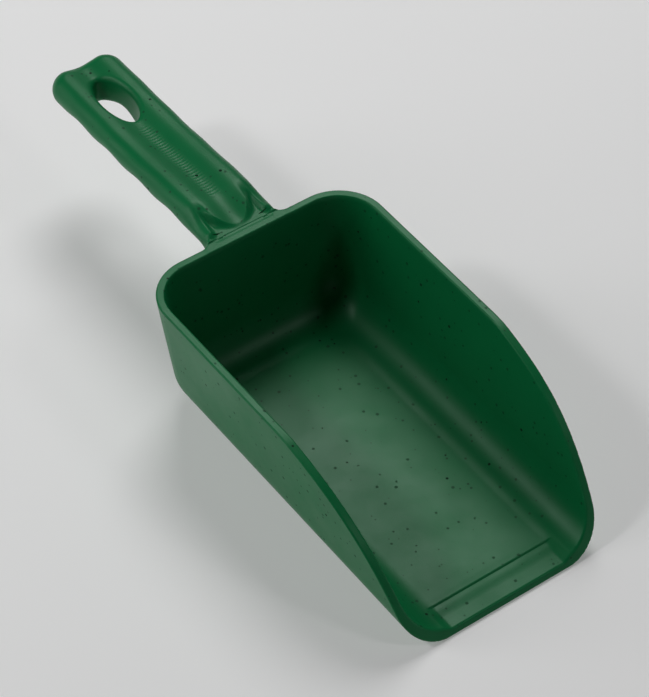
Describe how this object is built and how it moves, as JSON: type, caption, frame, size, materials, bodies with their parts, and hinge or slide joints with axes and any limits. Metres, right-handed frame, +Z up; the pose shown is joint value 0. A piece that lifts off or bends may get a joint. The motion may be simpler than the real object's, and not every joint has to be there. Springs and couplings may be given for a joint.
{
  "type": "feed scoop",
  "caption": "One-piece moulded plastic hand scoop: deep bowl with drafted walls and an open sloping front, and a flat grip with a hanging hole.",
  "frame": {"origin": "middle of the flat underside that the bowl rests on", "axes": "+X from the grip towards the pouring lip, +Y to the left of the person holding it, +Z up out of the bowl"},
  "size_m": [0.2618, 0.092, 0.0562],
  "materials": {
    "green_plastic": "satin moulded polypropylene, dark green with fine dark specks"
  },
  "bodies": {
    "root": {"bowl": "green_plastic", "handle": "green_plastic"}
  },
  "joints": []
}
